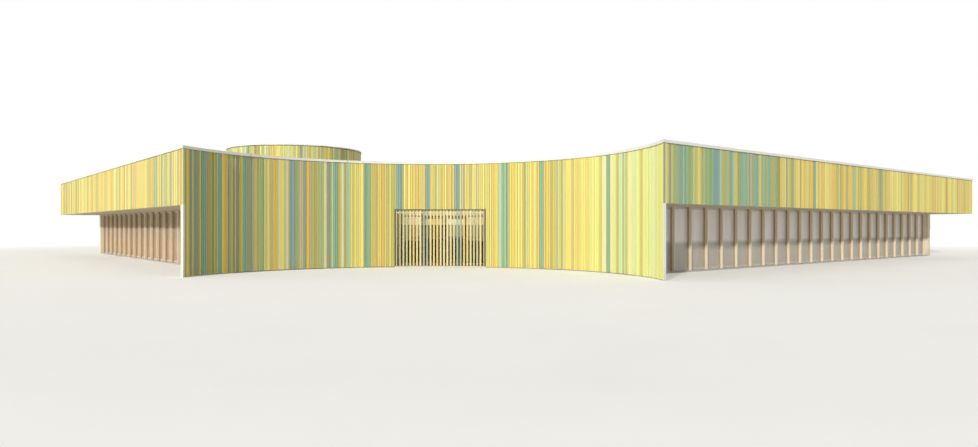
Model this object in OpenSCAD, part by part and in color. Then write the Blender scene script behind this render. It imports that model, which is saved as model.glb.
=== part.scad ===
// One-storey school: a rectangular plan whose front corner is carved out by a concave
// curved wall. A clad band runs round the top, the two wings have deep covered walks
// with timber fins, and a round drum stands on the roof. Millimetres, +Z up.

/* [Plan] */
// Length of the right side, along X
plan_x = 39800; // [30000:100:39800]
// Length of the left side, along Y
plan_y = 37000; // [30000:100:39800]
// Distance of the front curve's centre from the plan's missing corner, along each side
curve_centre = 4800; // [4400:50:5200]
// Radius of the concave front, at the face of its cladding
curve_r = 8000; // [7600:50:8400]
// Depth of the covered walks, from the band's face to the fins
walk_depth = 2200; // [1800:50:2600]

/* [Heights] */
// Top of the floor slab above the ground
floor_top = 60; // [40:5:120]
// Underside of the band and of the window heads
band_low = 2450; // [2300:10:2700]
// Top of the cladding
clad_top = 4350; // [4200:10:4800]
// Height of the roof coping
coping_h = 95; // [80:5:160]
// Top of the roof slab
roof_top = 4000; // [3800:10:4100]
// Thickness of the roof slab
roof_t = 300; // [200:10:400]
// Gap between the cladding and the ground
clad_gap = 40; // [20:5:60]

/* [Walls] */
// Depth of the batten cladding
clad_t = 60; // [40:5:80]
// Thickness of the curved and rear walls behind the cladding
wall_t = 300; // [200:10:400]
// Thickness of the thin curved blades at the front corners
blade_t = 90; // [60:5:120]
// Thickness of the fascia wall behind the band's cladding
fascia_t = 200; // [120:10:300]
// Thickness of the right corner post, square to the curve
post_w_right = 35; // [30:5:200]
// Thickness of the left corner post, square to the curve
post_w_left = 180; // [90:5:240]
// How far the coping stands out over the cladding
coping_out = 40; // [20:5:60]
// Width of the coping over the wall
coping_w = 420; // [400:10:460]

/* [Covered walks] */
// Spacing of the right side's timber fins
fin_pitch_right = 1058; // [900:1:1300]
// Spacing of the left side's timber fins
fin_pitch_left = 1185; // [900:1:1300]
// Distance of the first right fin from the curved wall
first_fin_right = 934; // [500:1:1200]
// Distance of the first left fin from the curved wall
first_fin_left = 1194; // [500:1:1200]
// Depth of a fin
fin_d = 160; // [120:10:260]
// Thickness of a fin
fin_w = 50; // [40:2:90]
// How far the white posts at the far ends stand out before the fins
end_post_out = 50; // [50:10:300]
// Thickness of the window glass
glass_t = 28; // [16:2:40]
// Height of the sill and head rails
rail_h = 80; // [50:5:120]
// Depth of the beam over the windows
beam_d = 420; // [340:10:500]
// Thickness of the soffit boards
soffit_t = 50; // [30:5:80]
// Width of the floor's kerb in front of the fins
kerb_w = 50; // [30:5:100]

/* [Rear windows] */
// Number of windows in each rear wall
rear_windows = 3; // [2:1:4]
// Width of a rear window
window_w = 7400; // [5000:100:7800]
// Width of a window frame's members
frame_w = 60; // [40:5:90]
// Depth of a window frame
frame_d = 120; // [80:10:160]

/* [Entrance] */
// Direction of the entrance from the centre of the curve
entrance_turn = 47.4; // [44:0.1:50]
// Clear width between the curved walls at the entrance
entrance_w = 3840; // [3800:10:3960]
// Thickness of the steel surround
surround_t = 40; // [30:2:50]
// Depth of the porch, from the curve's face to the glazed screen
porch_depth = 1300; // [1200:10:1600]
// Thickness of the porch side walls
porch_wall_t = 150; // [100:10:200]
// Thickness of the porch ceiling
porch_ceiling_t = 120; // [80:10:200]
// Height of the doors' transom above the ground
transom_z = 2150; // [2100:10:2250]
// Half of the clear width between the door posts
door_half = 960; // [900:10:1000]
// Thickness of a door leaf
door_t = 50; // [40:2:60]
// Width of a door leaf's rails and stiles
door_rail = 90; // [60:5:120]

/* [Slatted gates] */
// Number of slats on the left gate, besides its pivot tube; the right gate has one less
gate_slats = 13; // [13:1:13]
// Spacing of the slats along the curve
slat_pitch = 142.6; // [141.3:0.1:144.3]
// Face width of a slat
slat_w = 76; // [50:1:90]
// Depth of a slat
slat_d = 45; // [30:1:55]
// Radius of the pivot tube
tube_r = 30; // [25:1:34]
// Height of a gate's rails
gate_rail_h = 60; // [40:5:90]
// Depth of a gate's rails
gate_rail_d = 30; // [20:1:40]

/* [Roof drum] */
// Outer radius of the drum
drum_r = 3760; // [3200:10:4200]
// Distance of the drum from the plan's missing corner, along X
drum_x = 10200; // [9000:50:12000]
// Distance of the drum from the plan's missing corner, along Y
drum_y = 25300; // [20000:50:28000]
// Top of the drum's cladding
drum_top = 6060; // [5400:10:6600]
// Thickness of the drum's wall
drum_wall_t = 200; // [120:10:300]
// Height of the drum's coping
drum_coping_h = 50; // [40:5:140]

/* [Hidden] */
$fn = 96;

// Seating gap between pieces that touch along a curve, and round a pivot pin
seat = 0.3;
// Expansion joint between the bays of a slab and the lengths of coping
joint = 10;
// Running gap round a moving leaf
run = 10;
// Overlap that makes a cut pass its face
over = 10;
big = 4 * plan_x;
// The curve's centre is on the diagonal, so it cuts both sides at one distance
curve_c = curve_centre;
corner_cut = curve_c + sqrt(curve_r * curve_r - curve_c * curve_c);
core_r = curve_r + clad_t;
core_back = core_r + wall_t;
blade_back = core_r + blade_t;
roof_low = roof_top - roof_t;
coping_top = clad_top + coping_h;
pane_y = walk_depth + fin_d;
kerb_y = walk_depth - kerb_w;
post_d = clad_t + fascia_t;
bay_split = curve_c + core_back + 100;
half_w = entrance_w / 2;
surround_low = band_low - surround_t;
screen_x = curve_r + porch_depth;
pivot_turn = gate_slats * slat_turn();
pivot_r = curve_r + tube_r;
hinge_y = door_half - run - door_t / 2;
threshold_h = 30;
pin_r = 10;
boss_r = 18;
pin_depth = 22;
white = "whitesmoke";
timber = "burlywood";
steel = "dimgray";
pane = "lightsteelblue";
boards = "gold";

function slat_turn() = slat_pitch / curve_r * 180 / PI;

// Puts the plan's missing corner where it lies when the box is centred on the origin
module placed() {
    translate([-plan_x / 2, -plan_y / 2, 0]) children();
}

// Mirrors a right-hand piece to the left side, across the diagonal
module on_left() {
    mirror([1, -1, 0]) children();
}

module box(low, high) {
    translate(low) cube(high - low);
}

// The curve's centre as the origin
module about_curve() {
    translate([curve_c, curve_c, 0]) children();
}

// X points into the building along the entrance's axis, Y to its left
module at_entrance() {
    about_curve() rotate([0, 0, entrance_turn]) children();
}

// A full ring round the curve's centre
module ring(inner, outer, low, high) {
    translate([0, 0, low]) difference() {
        cylinder(r = outer, h = high - low);
        translate([0, 0, -over]) cylinder(r = inner, h = high - low + 2 * over);
    }
}

// The space of the curve's cylinder, to be cut away from what butts against it
module curve_space(r) {
    about_curve() translate([0, 0, -over]) cylinder(r = r + seat, h = big);
}

// The slot of the entrance, open upwards to the given height
module entrance_slot(high) {
    at_entrance() box([0, -half_w, -over], [2 * curve_r, half_w, high]);
}

// Half of the plane, on one side of the entrance's axis
module half_plane(side) {
    at_entrance() box([-big, side > 0 ? 0 : -big, -over], [big, side > 0 ? big : 0, big]);
}

// The curved wall beside the entrance, from the entrance to the fin line
module curved_wall_right_form() {
    difference() {
        intersection() {
            about_curve() ring(core_r, core_back, floor_top, clad_top);
            half_plane(-1);
            box([curve_c, kerb_y, 0], [big, big, big]);
        }
        entrance_slot(big);
    }
}

module curved_wall_left_form() {
    difference() {
        intersection() {
            about_curve() ring(core_r, core_back, floor_top, clad_top);
            half_plane(1);
            box([kerb_y, curve_c, 0], [big, big, big]);
        }
        entrance_slot(big);
    }
}

module curved_wall_left() {
    color(white) placed() curved_wall_left_form();
}

module curved_wall_right() {
    color(white) placed() curved_wall_right_form();
}

// The wall over the entrance, up to the parapet
module entrance_lintel() {
    color(white) placed() intersection() {
        about_curve() ring(core_r, core_back, band_low, clad_top);
        entrance_slot(big);
    }
}

// The thin curved blade that closes the near end of the covered walk
module blade_form() {
    intersection() {
        about_curve() ring(core_r, blade_back, 0, clad_top);
        box([curve_c, post_d, 0], [big, kerb_y, big]);
    }
}

module corner_blades() {
    color(white) placed() {
        blade_form();
        on_left() blade_form();
    }
}

// X of a circle about the curve's centre, at the depth y from the side's face
function curve_x(r, y) = curve_c + sqrt(r * r - (curve_c - y) * (curve_c - y));

// The white end of the blade: under the band it also caps the cladding's edge
module post_form(w) {
    intersection() {
        about_curve() ring(core_r, core_r + w, 0, clad_top);
        box([curve_c, clad_t, 0], [big, post_d, big]);
    }
    intersection() {
        about_curve() ring(curve_r, core_r + w, 0, band_low);
        box([curve_c, 0, 0], [big, clad_t, big]);
    }
}

module corner_posts() {
    color(white) placed() {
        post_form(post_w_right);
        on_left() post_form(post_w_left);
    }
}

// Batten cladding on the curve, from a corner post to the entrance
module curve_cladding_form(side) {
    difference() {
        intersection() {
            about_curve() ring(curve_r, core_r - seat, clad_gap, clad_top);
            half_plane(side);
            box([0, 0, 0], [big, big, big]);
        }
        entrance_slot(big);
        box([-over, -over, 0], [big, clad_t, band_low]);
        box([-over, -over, 0], [clad_t, big, band_low]);
    }
}

module cladding_curve_left() {
    color(boards) placed() curve_cladding_form(1);
}

module cladding_curve_right() {
    color(boards) placed() curve_cladding_form(-1);
}

module cladding_over_entrance() {
    color(boards) placed() intersection() {
        about_curve() ring(curve_r, core_r - seat, band_low, clad_top);
        entrance_slot(big);
    }
}

// Floor slab in three bays with expansion joints, cut back to the curved wall
module floor_slab() {
    low = kerb_y;
    color("silver") placed() difference() {
        union() {
            box([bay_split, low, 0], [plan_x - clad_t, plan_y - clad_t, floor_top]);
            box([low, bay_split, 0], [bay_split - joint, plan_y - clad_t, floor_top]);
            box([low, low, 0], [bay_split - joint, bay_split - joint, floor_top]);
        }
        curve_space(core_r - seat);
        intersection() {
            entrance_slot(big);
            curve_space(core_back);
        }
        end_post_form(plan_x);
        on_left() end_post_form(plan_y);
    }
}

// The white post at the far end of a covered walk, standing on the ground
module end_post_form(side) {
    box([side - clad_t - wall_t, walk_depth - end_post_out, 0], [side, pane_y, band_low]);
}

module end_posts() {
    color(white) placed() {
        end_post_form(plan_x);
        on_left() end_post_form(plan_y);
    }
}

// Steel lining round the entrance: two jambs, a head, and a threshold on the ground
module entrance_surround() {
    clear = half_w - surround_t;
    color(steel) placed() difference() {
        intersection() {
            about_curve() ring(curve_r, core_back, 0, band_low);
            entrance_slot(big);
        }
        at_entrance() box([0, -clear, floor_top], [big, clear, surround_low]);
        at_entrance() for (side = [-1, 1]) rotate([0, 0, side * pivot_turn])
            translate([pivot_r, 0, 0]) {
                translate([0, 0, floor_top - pin_depth]) cylinder(r = pin_r + seat, h = band_low / 2);
                translate([0, 0, band_low / 2])
                    cylinder(r = pin_r + seat, h = surround_low + pin_depth - band_low / 2);
            }
    }
}

// Side walls of the porch, from the curved wall back to the glazed screen
module porch_walls() {
    color(white) placed() difference() {
        at_entrance() for (side = [-1, 1])
            box([curve_r, min(side * half_w, side * (half_w + porch_wall_t)), floor_top],
                [screen_x + frame_d, max(side * half_w, side * (half_w + porch_wall_t)),
                 band_low]);
        curve_space(core_back);
    }
}

module porch_ceiling() {
    reach = half_w + porch_wall_t;
    color(white) placed() difference() {
        at_entrance() box([curve_r, -reach, band_low],
                          [screen_x + frame_d, reach, band_low + porch_ceiling_t]);
        curve_space(core_back);
    }
}

// The fixed frame of the glazed screen, with the doorway's posts, head and threshold
module entrance_frame() {
    front = [screen_x, -half_w, floor_top];
    color(steel) placed() at_entrance() difference() {
        box(front, [screen_x + frame_d, half_w, band_low]);
        for (side = [-1, 1]) {
            screen_cut(side * (door_half + frame_w), side * (half_w - frame_w),
                       floor_top + frame_w, transom_z);
            screen_cut(side * (door_half + frame_w), side * (half_w - frame_w),
                       transom_z + frame_w, band_low - frame_w);
            translate([screen_x + door_t / 2, side * hinge_y, floor_top + threshold_h - pin_depth])
                cylinder(r = pin_r + seat, h = transom_z - floor_top - threshold_h + 2 * pin_depth);
        }
        screen_cut(-door_half, door_half, floor_top + threshold_h, transom_z);
        screen_cut(-door_half, door_half, transom_z + frame_w, band_low - frame_w);
    }
}

// A hole through the screen, between two places across it and two heights
module screen_cut(a, b, low, high) {
    box([screen_x - over, min(a, b), low], [screen_x + frame_d + over, max(a, b), high]);
}

// A fixed pane in the middle of the screen's depth
module screen_pane(a, b, low, high) {
    mid = screen_x + frame_d / 2;
    box([mid - glass_t / 2, min(a, b), low], [mid + glass_t / 2, max(a, b), high]);
}

module entrance_glass() {
    color(pane, 0.5) placed() at_entrance() {
        for (side = [-1, 1]) {
            screen_pane(side * (door_half + frame_w), side * (half_w - frame_w),
                        floor_top + frame_w, transom_z);
            screen_pane(side * (door_half + frame_w), side * (half_w - frame_w),
                        transom_z + frame_w, band_low - frame_w);
        }
        screen_pane(-door_half, door_half, transom_z + frame_w, band_low - frame_w);
    }
}

// Timber fins, standing on the floor's kerb, from near the curved wall to the end post
module fins_form(side, first, pitch) {
    start = curve_x(core_back, pane_y) + first;
    room = side - clad_t - wall_t - fin_w / 2 - start;
    for (i = [0 : floor(room / pitch)])
        box([start + i * pitch - fin_w / 2, walk_depth, floor_top],
            [start + i * pitch + fin_w / 2, pane_y, band_low]);
}

module fins_right() {
    color(timber) placed() fins_form(plan_x, first_fin_right, fin_pitch_right);
}

module fins_left() {
    color(timber) placed() on_left() fins_form(plan_y, first_fin_left, fin_pitch_left);
}

// One sheet of glass behind the fins
module glass_form(side) {
    difference() {
        box([curve_c, pane_y, floor_top + rail_h],
            [side - clad_t - wall_t, pane_y + glass_t, band_low - rail_h]);
        curve_space(core_back);
    }
}

module glass_right() {
    color(pane, 0.5) placed() glass_form(plan_x);
}

module glass_left() {
    color(pane, 0.5) placed() on_left() glass_form(plan_y);
}

// Sill and head rails that hold the glass
module rails_form(side) {
    rail_d = 2 * glass_t;
    difference() {
        union() for (low = [floor_top, band_low - rail_h])
            box([curve_c, pane_y, low], [side - clad_t - wall_t, pane_y + rail_d, low + rail_h]);
        curve_space(core_back);
    }
}

module window_rails() {
    color(white) placed() {
        rails_form(plan_x);
        on_left() rails_form(plan_y);
    }
}

// Beam over the windows, which carries the roof slab
module beam_form(side) {
    difference() {
        box([curve_c, kerb_y, band_low], [side - clad_t - wall_t, kerb_y + beam_d, roof_low]);
        curve_space(core_back);
    }
}

module window_beams() {
    color(white) placed() {
        beam_form(plan_x);
        on_left() beam_form(plan_y);
    }
}

// Soffit of the covered walk, between the fascia and the beam
module soffit_form(side) {
    difference() {
        box([curve_c, clad_t + fascia_t, band_low],
            [side - clad_t - wall_t, kerb_y, band_low + soffit_t]);
        curve_space(blade_back);
    }
}

module walk_soffits() {
    color(white) placed() {
        soffit_form(plan_x);
        on_left() soffit_form(plan_y);
    }
}

// Fascia wall behind the band's cladding, from the corner post to the rear wall
module fascia_form(side, post_w) {
    difference() {
        box([corner_cut, clad_t, band_low], [side - clad_t - wall_t, clad_t + fascia_t, clad_top]);
        curve_space(core_r + post_w);
    }
}

module band_walls() {
    color(white) placed() {
        fascia_form(plan_x, post_w_right);
        on_left() fascia_form(plan_y, post_w_left);
    }
}

// The band's batten cladding along a side
module band_cladding_form(side) {
    difference() {
        box([corner_cut, 0, band_low], [side, clad_t, clad_top]);
        curve_space(core_r);
    }
}

module cladding_right() {
    color(boards) placed() band_cladding_form(plan_x);
}

module cladding_left() {
    color(boards) placed() on_left() band_cladding_form(plan_y);
}

// Where a rear window starts along its wall, with equal piers between the windows
function window_start(side, i) =
    let (room = side - walk_depth - clad_t - wall_t - rear_windows * window_w)
    walk_depth + room / (rear_windows + 1) * (i + 1) + i * window_w;

// Cuts the windows of a rear wall that runs along X at the depth of the plan
module window_holes(side, depth, inset) {
    for (i = [0 : rear_windows - 1])
        box([window_start(side, i) + inset, depth - clad_t - wall_t - over, floor_top + inset],
            [window_start(side, i) + window_w - inset, depth + over, band_low - inset]);
}

// A layer of the rear wall: full height behind the walk, and the band out to its face
module rear_layer(side, depth, front, back, low, band_start, wall_end) {
    difference() {
        union() {
            box([pane_y, depth - back, low], [wall_end, depth - front, clad_top]);
            box([band_start, depth - back, band_low], [wall_end, depth - front, clad_top]);
        }
        window_holes(side, depth, 0);
    }
}

module rear_wall() {
    color(white) placed()
        rear_layer(plan_x, plan_y, clad_t, clad_t + wall_t, floor_top, clad_t, plan_x - clad_t);
}

module rear_cladding() {
    color(boards) placed()
        rear_layer(plan_x, plan_y, 0, clad_t, clad_gap, clad_t, plan_x);
}

module side_wall() {
    color(white) placed() on_left()
        rear_layer(plan_y, plan_x, clad_t, clad_t + wall_t, floor_top, clad_t,
                   plan_y - clad_t - wall_t);
}

module side_cladding() {
    color(boards) placed() on_left()
        rear_layer(plan_y, plan_x, 0, clad_t, clad_gap, clad_t, plan_y - clad_t);
}

// Frames of the rear windows, in the middle of the wall
module window_frames_form(side, depth) {
    mid = depth - clad_t - wall_t / 2;
    difference() {
        for (i = [0 : rear_windows - 1])
            box([window_start(side, i), mid - frame_d / 2, floor_top],
                [window_start(side, i) + window_w, mid + frame_d / 2, band_low]);
        window_holes(side, depth, frame_w);
    }
}

module window_panes_form(side, depth) {
    mid = depth - clad_t - wall_t / 2;
    for (i = [0 : rear_windows - 1])
        box([window_start(side, i) + frame_w, mid - glass_t / 2, floor_top + frame_w],
            [window_start(side, i) + window_w - frame_w, mid + glass_t / 2, band_low - frame_w]);
}

module rear_window_frames() {
    color(timber) placed() {
        window_frames_form(plan_x, plan_y);
        on_left() window_frames_form(plan_y, plan_x);
    }
}

module rear_glass() {
    color(pane, 0.5) placed() {
        window_panes_form(plan_x, plan_y);
        on_left() window_panes_form(plan_y, plan_x);
    }
}

// Roof slab in three bays, open under the drum
module roof_slab() {
    edge = clad_t + fascia_t;
    rear = clad_t + wall_t;
    color("lightgray") placed() difference() {
        union() {
            box([bay_split, edge, roof_low], [plan_x - rear, plan_y - rear, roof_top]);
            box([edge, bay_split, roof_low], [bay_split - joint, plan_y - rear, roof_top]);
            box([edge, edge, roof_low], [bay_split - joint, bay_split - joint, roof_top]);
        }
        curve_space(core_back);
        translate([drum_x, drum_y, roof_low - over])
            cylinder(r = drum_r - clad_t - drum_wall_t, h = roof_t + 2 * over);
    }
}

// The coping over the curved front, out to its two sharp tips
module coping_front() {
    color(white) placed() difference() {
        box([-coping_out, -coping_out, clad_top], [bay_split, bay_split, coping_top]);
        box([coping_w, coping_w, clad_top - over], [bay_split + over, bay_split + over, big]);
        curve_space(curve_r - coping_out - seat);
    }
    color(white) placed() intersection() {
        about_curve() ring(curve_r - coping_out, curve_r + coping_w, clad_top, coping_top);
        box([-coping_out, -coping_out, 0], [bay_split, bay_split, big]);
    }
}

// Four straight lengths of coping with expansion joints between them
module coping_sides() {
    low = [bay_split + joint, -coping_out];
    end_x = plan_x + coping_out;
    end_y = plan_y + coping_out;
    color(white) placed() {
        box([low[0], low[1], clad_top], [end_x, coping_w, coping_top]);
        box([low[1], low[0], clad_top], [coping_w, end_y, coping_top]);
        box([coping_w + joint, plan_y - coping_w, clad_top], [end_x, end_y, coping_top]);
        box([plan_x - coping_w, coping_w + joint, clad_top],
            [end_x, plan_y - coping_w - joint, coping_top]);
    }
}

module at_drum() {
    translate([drum_x, drum_y, 0]) children();
}

module drum_wall() {
    outer = drum_r - clad_t;
    color(white) placed() at_drum() ring(outer - drum_wall_t, outer, roof_top, drum_top);
}

module drum_cladding() {
    color(boards) placed() at_drum()
        ring(drum_r - clad_t + seat, drum_r, roof_top + clad_gap, drum_top);
}

module drum_roof() {
    color("lightgray") placed() at_drum() translate([0, 0, drum_top - roof_t])
        cylinder(r = drum_r - clad_t - drum_wall_t - seat, h = roof_t / 2);
}

module drum_coping() {
    color(white) placed() at_drum()
        ring(drum_r - clad_t - drum_wall_t - coping_out, drum_r + coping_out, drum_top,
             drum_top + drum_coping_h);
}

// A pivot pin with its boss, pointing down from the leaf's foot or up from its head
module pivot(foot, head, seat_low, seat_high) {
    translate([0, 0, seat_low - pin_depth + seat])
        cylinder(r = pin_r, h = seat_high - seat_low + 2 * (pin_depth - seat));
    translate([0, 0, seat_low + seat]) cylinder(r = boss_r, h = foot - seat_low);
    translate([0, 0, head - 1]) cylinder(r = boss_r, h = seat_high - head + 1 - seat);
}

// One slatted gate: a pivot tube at the jamb, curved rails and slats on the curve.
// The left gate carries the slat on the meeting line, and the right one starts beside it.
module gate_form(side) {
    foot = floor_top + run;
    head = surround_low - run;
    first = side > 0 ? 0 : 1;
    rail_r = curve_r + slat_d - 5;
    for (i = [first : gate_slats - 1]) rotate([0, 0, side * i * slat_turn()])
        translate([curve_r, -slat_w / 2, foot]) cube([slat_d, slat_w, head - foot]);
    rotate([0, 0, side * pivot_turn]) translate([pivot_r, 0, 0]) {
        translate([0, 0, foot]) cylinder(r = tube_r, h = head - foot);
        pivot(foot, head, floor_top, surround_low);
    }
    sweep = pivot_turn - first * slat_turn();
    for (z = [foot + gate_rail_h, (foot + head - gate_rail_h) / 2, head - 2 * gate_rail_h])
        rotate([0, 0, side > 0 ? 0 : -pivot_turn]) translate([0, 0, z])
            rotate_extrude(angle = sweep)
                translate([rail_r, 0]) square([gate_rail_d, gate_rail_h]);
}

module gate_left() {
    color(boards) placed() at_entrance() gate_form(1);
}

module gate_right() {
    color(boards) placed() at_entrance() gate_form(-1);
}

// One glazed door: a frame with a round heel on its pivot
module door_form(side) {
    foot = floor_top + threshold_h + run;
    head = transom_z - run;
    meet = side * run / 2;
    hinge = side * hinge_y;
    difference() {
        union() {
            box([screen_x, min(meet, hinge), foot], [screen_x + door_t, max(meet, hinge), head]);
            translate([screen_x + door_t / 2, hinge, foot]) cylinder(r = door_t / 2, h = head - foot);
        }
        door_hole(side, foot, head, over);
    }
    translate([screen_x + door_t / 2, hinge, 0])
        pivot(foot, head, floor_top + threshold_h, transom_z);
}

// The space inside a door's frame, grown through its faces
module door_hole(side, foot, head, grow) {
    a = side * (run / 2 + door_rail);
    b = side * (hinge_y - door_rail);
    box([screen_x - grow, min(a, b), foot + 2 * door_rail],
        [screen_x + door_t + grow, max(a, b), head - door_rail]);
}

// The door's pane, in the middle of its frame
module door_glass_form(side) {
    foot = floor_top + threshold_h + run;
    door_hole(side, foot, transom_z - run, -(door_t - glass_t) / 2);
}

module door_left() {
    color(steel) placed() at_entrance() door_form(1);
}

module door_right() {
    color(steel) placed() at_entrance() door_form(-1);
}

module door_glass_left() {
    color(pane, 0.5) placed() at_entrance() door_glass_form(1);
}

module door_glass_right() {
    color(pane, 0.5) placed() at_entrance() door_glass_form(-1);
}

floor_slab();
curved_wall_left();
curved_wall_right();
entrance_lintel();
corner_blades();
corner_posts();
end_posts();
cladding_curve_left();
cladding_curve_right();
cladding_over_entrance();
entrance_surround();
porch_walls();
porch_ceiling();
entrance_frame();
entrance_glass();
fins_right();
glass_right();
window_rails();
window_beams();
walk_soffits();
band_walls();
cladding_right();
fins_left();
glass_left();
cladding_left();
rear_wall();
rear_cladding();
rear_window_frames();
rear_glass();
side_wall();
side_cladding();
roof_slab();
coping_front();
coping_sides();
drum_wall();
drum_cladding();
drum_roof();
drum_coping();
gate_left();
gate_right();
door_left();
door_right();
door_glass_left();
door_glass_right();
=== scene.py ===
"""Looks of the school building: battens, gates, windows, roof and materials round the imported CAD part."""

import math
import random

import bpy
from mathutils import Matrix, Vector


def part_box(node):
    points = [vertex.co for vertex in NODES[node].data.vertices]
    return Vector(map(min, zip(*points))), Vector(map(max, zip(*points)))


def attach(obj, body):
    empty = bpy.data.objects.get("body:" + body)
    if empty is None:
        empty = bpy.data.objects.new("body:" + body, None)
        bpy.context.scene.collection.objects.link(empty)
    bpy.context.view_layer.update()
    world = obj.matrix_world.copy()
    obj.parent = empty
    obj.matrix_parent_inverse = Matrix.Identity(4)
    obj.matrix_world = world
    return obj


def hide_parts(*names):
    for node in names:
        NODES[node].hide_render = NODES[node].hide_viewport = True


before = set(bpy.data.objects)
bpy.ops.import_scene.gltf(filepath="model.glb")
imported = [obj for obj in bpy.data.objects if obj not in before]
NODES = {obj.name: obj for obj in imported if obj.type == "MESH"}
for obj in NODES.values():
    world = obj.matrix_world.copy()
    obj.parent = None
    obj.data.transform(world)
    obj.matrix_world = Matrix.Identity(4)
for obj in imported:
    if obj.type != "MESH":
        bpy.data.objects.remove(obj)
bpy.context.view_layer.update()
ROOT = "building"

# The source's own sizes, in metres. Plan places are counted from the plan's missing corner.
PLAN_X = 2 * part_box("cladding_right")[1][0]
PLAN_Y = 2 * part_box("cladding_left")[1][1]
ORIGIN = (PLAN_X / 2, PLAN_Y / 2)
CURVE_C = 4.8
CURVE_R = 8.0
CLAD_T = 0.06
WALL_T = 0.3
CORE_R = CURVE_R + CLAD_T
CORE_BACK = CORE_R + WALL_T

# Heights
FLOOR_TOP = 0.06
CLAD_GAP = 0.04
BAND_LOW = 2.45
CLAD_TOP = 4.35

# Covered walks
WALK_DEPTH = 2.2
PANE_Y = 2.36
GLASS_T = 0.028
FIN_W = 0.05
FIRST_FIN_RIGHT = 0.934
FIN_PITCH_RIGHT = 1.058
FIRST_FIN_LEFT = 1.194
FIN_PITCH_LEFT = 1.185

# Windows of the hidden walls
WINDOWS = 3
WINDOW_W = 7.4
FRAME_W = 0.06

# Entrance
ENTRANCE_TURN = 47.4
HALF_W = 1.92
SCREEN_X = 9.3
DOOR_T = 0.05

# Roof drum
DRUM = (10.2, 25.3)
DRUM_R = 3.76
ROOF_TOP = 4.0
DRUM_TOP = 6.06

# Batten colours as they look in full light, sRGB
PAINTS = {
    "G": ("golden", (236, 213, 122)),
    "Y": ("yellow", (240, 226, 134)),
    "L": ("lemon", (249, 246, 150)),
    "C": ("cream", (238, 234, 182)),
    "O": ("ochre", (233, 200, 112)),
    "V": ("olive", (196, 190, 118)),
    "U": ("khaki", (217, 208, 120)),
    "S": ("sage", (180, 194, 138)),
    "M": ("mint", (186, 208, 168)),
    "T": ("teal", (150, 188, 158)),
    "B": ("blue_teal", (148, 178, 170)),
    "K": ("grey_green", (168, 174, 144)),
    "N": ("tan", (208, 198, 150)),
    "P": ("pale_sage", (216, 220, 152)),
    "D": ("brown", (182, 166, 104)),
    "A": ("amber", (248, 216, 108)),
    "F": ("leaf", (160, 190, 132)),
    "E": ("pale_mint", (226, 242, 176)),
}

# The paints that share a group with each paint
BESIDE = {
    "G": "YOV",
    "Y": "GLU",
    "L": "LEC",
    "C": "PE",
    "O": "GAN",
    "V": "UDK",
    "U": "VY",
    "S": "MK",
    "M": "SE",
    "T": "BM",
    "B": "TK",
    "K": "SN",
    "N": "KC",
    "P": "CU",
    "D": "VN",
    "A": "OG",
    "F": "SKT",
    "E": "PM",
}

# The mix of paints along each wall: where a stretch ends, in metres, and its paints, common ones repeated
CURVE_MIX = (
    (2.5, "GGGOVVVDKSNP"),
    (5.0, "GGGYOVVVKKSPCMF"),
    (7.5, "GGYYPNNVVKKSMC"),
    (9.8, "GGGYYOPPVVKNFSM"),
    (11.5, "GGGGOOYYAUP"),
    (14.0, "YYGGOAUUVSPN"),
    (16.5, "YYYGGAGOUUVPS"),
    (19.0, "YYYLLUUUPYA"),
    (24.0, "LLLLLLLLEECCU"),
)
RIGHT_MIX = (
    (13.2, "GGYVVDFFFSTUKV"),
    (15.4, "FFFKSSTBUVVY"),
    (17.7, "FFKSTVVVYGGU"),
    (20.0, "YYGGGGAUVVSF"),
    (25.0, "YYGGAALVVVSO"),
    (40.0, "YYYGGGAAAOUUVV"),
)
LEFT_MIX = ((16.0, "GGGYYOAUUVVS"), (22.0, "GGGYYOAUUVS"), (40.0, "GGGGGYYYAUUVV"))
DRUM_MIX = ((3.1, "KSPPNCEYV"), (8.0, "YYYUUNCKPMGVL"), (25.0, "YYYGGGLSSTMPN"))
REAR_MIX = ((40.0, "YYYYGGGGLLOAUUVSSTMPPKB"),)

# Where the strongest blue-green groups stand, in metres along the wall
CURVE_ACCENTS = (1.0, 1.75, 2.9, 4.9, 6.7, 8.0, 9.35, 10.55, 11.8, 13.85, 15.55, 18.9)
RIGHT_ACCENTS = (12.1, 15.0, 16.7, 21.1)
ACCENT_PAINTS = "TB"
ACCENT_W = 0.2
ACCENT_NEAR = 0.03

# Widths of the groups, how much wider they are on straight walls, and how often two paints share a group
GROUP_WIDTHS = (0.06, 0.08, 0.1, 0.12, 0.15, 0.2, 0.3)
STRAIGHT_WIDER = 1.3
SHARE_CHANCE = 0.6
# The paints that may follow themselves
CALM_PAINTS = "GYL"

# Seeds of the rhythm on each wall. On the walls that the photo shows they are the likest of those tried
CURVE_SEED = 2576
RIGHT_SEED = 2708
LEFT_SEED = 2927
DRUM_SEED = 1674
REAR_SEED = 5
DRUM_BOARD_SEED = 41

# Widths of the battens, and the widest that one may get by taking a group's rest
WIDTHS = (0.06, 0.072, 0.082, 0.09, 0.098, 0.11)
WIDEST_W = 0.14
# A group ends when no more than this is left of it
LEAST_W = 0.03
# A board takes the rest of its group when less than this would be left beside it
LEAST_REST = 0.045
# The last board of a stretch reaches its end when it would miss it by more than this
MISSED = 0.001
# How often the next board of a group takes the next paint
TURN_CHANCE = 0.75
# How far the boards' faces lie back from the cladding's face
SET_BACKS = (0.0, 0.0, 0.004, 0.009, 0.014)
GAP = 0.01
CHAMFER = 0.004
# How far the boards end below the coping, which leaves a strip of the near-black membrane as painted shade
TOP_SHADOW = 0.01
DRUM_SHADOW = 0.03
# How far the drum's boards start above the roof
DRUM_FOOT = 0.04

# The membrane: its thickness with its seat, its seat, and how far it starts above the boards' feet
BACKING_T = 0.008
BACK_SEAT = 0.001
BACK_RAISE = 0.01

# Length of the curve's cladding at each sharp tip, which the corner boards take, and the gap at their side
TIP_W = 0.16
CORNER_GAP = 0.004

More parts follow.
